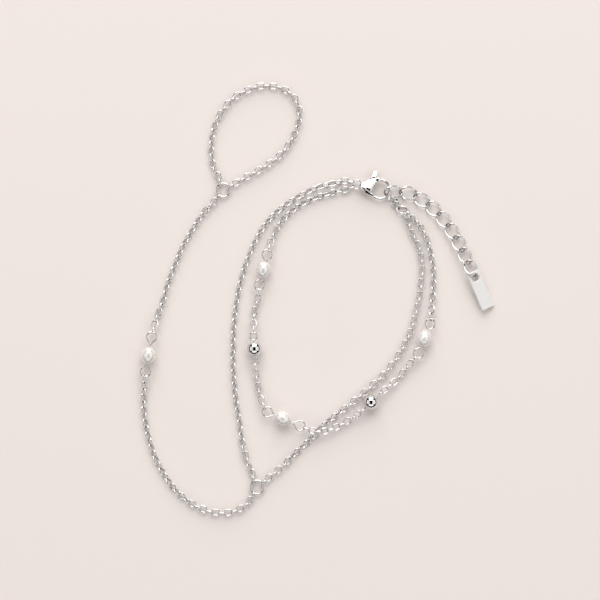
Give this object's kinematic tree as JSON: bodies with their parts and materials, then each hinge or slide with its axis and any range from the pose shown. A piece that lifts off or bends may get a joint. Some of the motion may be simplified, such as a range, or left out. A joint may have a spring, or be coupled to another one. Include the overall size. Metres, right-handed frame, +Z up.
{
  "type": "hand chain bracelet",
  "caption": "Fine chain that runs from a finger loop over the hand to a wrist bracelet with a plain strand and a strand of pearls and balls, lobster clasp and extender",
  "frame": {"origin": "centre of the laid out bracelet on the surface that it lies on", "axes": "+Z up from the surface, +Y from the wrist strands towards the finger loop, +X towards the extender"},
  "size_m": [0.0796, 0.0975, 0.0034],
  "materials": {
    "chain_silver": "polished silver wire",
    "clasp_silver": "bright polished silver",
    "mirror_ball": "mirror polished metal",
    "tag_silver": "fine satin",
    "pearl": "white freshwater pearl, soft lustre"
  },
  "bodies": {
    "root": {"clasp_body": "clasp_silver", "clasp_rivet": "clasp_silver", "tail_ring": "chain_silver", "finger_ring": "chain_silver", "palm_ring": "chain_silver", "extender_link_1": "chain_silver", "extender_link_2": "chain_silver", "extender_link_3": "chain_silver", "extender_link_4": "chain_silver", "extender_link_5": "chain_silver", "extender_link_6": "chain_silver", "extender_link_7": "chain_silver", "extender_link_8": "chain_silver", "extender_link_9": "chain_silver", "extender_tag": "tag_silver", "connector_link_1": "chain_silver", "connector_link_2": "chain_silver", "connector_link_3": "chain_silver", "pearl_1": "pearl", "pearl_2": "pearl", "pearl_3": "pearl", "pearl_4": "pearl", "eye_pin_1": "chain_silver", "eye_pin_2": "chain_silver", "eye_pin_3": "chain_silver", "eye_pin_4": "chain_silver", "ball_1": "mirror_ball", "ball_2": "mirror_ball", "ball_pin_1": "chain_silver", "ball_pin_2": "chain_silver", "hand_link": "chain_silver", "bead_link": "chain_silver", "finger_loop_chain": "chain_silver", "hand_chain_upper": "chain_silver", "hand_chain_lower": "chain_silver", "plain_chain_left": "chain_silver", "plain_chain_right": "chain_silver", "bead_chain_1": "chain_silver", "bead_chain_2": "chain_silver", "bead_chain_3": "chain_silver", "bead_chain_4": "chain_silver", "bead_chain_5": "chain_silver", "bead_chain_6": "chain_silver"},
    "lever": {"clasp_lever": "clasp_silver"}
  },
  "joints": [
    {"name": "lever_pivot", "type": "hinge", "parent": "root", "child": "lever", "pos_m": [0.01125, 0.02518, 0.0011], "axis": [0, 0, 1], "range_deg": [0, 20], "stiffness_Nm_per_rad": 0.002}
  ]
}
